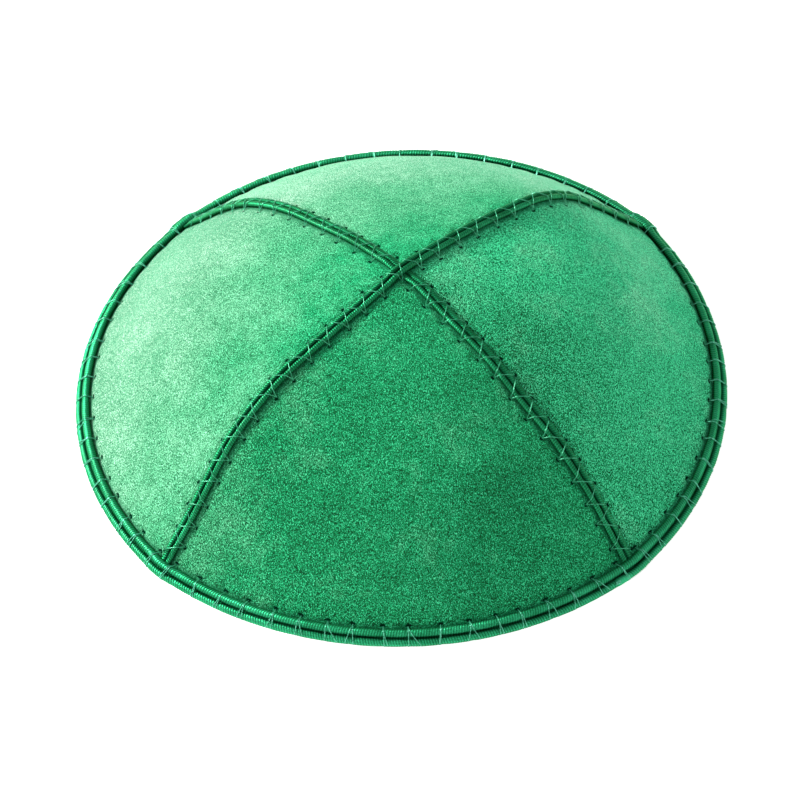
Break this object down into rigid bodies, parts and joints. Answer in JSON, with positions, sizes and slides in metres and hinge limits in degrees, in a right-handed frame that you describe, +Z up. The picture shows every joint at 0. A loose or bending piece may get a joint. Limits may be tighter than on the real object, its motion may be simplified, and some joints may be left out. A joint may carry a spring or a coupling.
{
  "type": "kippah skullcap",
  "caption": "Shallow domed skullcap of suede panels, with two-cord braid sewn over the seams and round the rim.",
  "frame": {"origin": "the middle of the rim's box, on the surface that the rim rests on", "axes": "+Z up through the crown, -Y towards the front panel, +X to the right; the seams lie along the diagonals"},
  "size_m": [0.1558, 0.1614, 0.046],
  "materials": {
    "suede": "green suede with a short matt nap",
    "braid": "darker green braid with a slight sheen"
  },
  "bodies": {
    "root": {"panel_front": "suede", "panel_right": "suede", "panel_back": "suede", "panel_left": "suede", "seam_braid_upper": "braid", "seam_braid_lower": "braid", "rim_braid": "braid"}
  },
  "joints": []
}
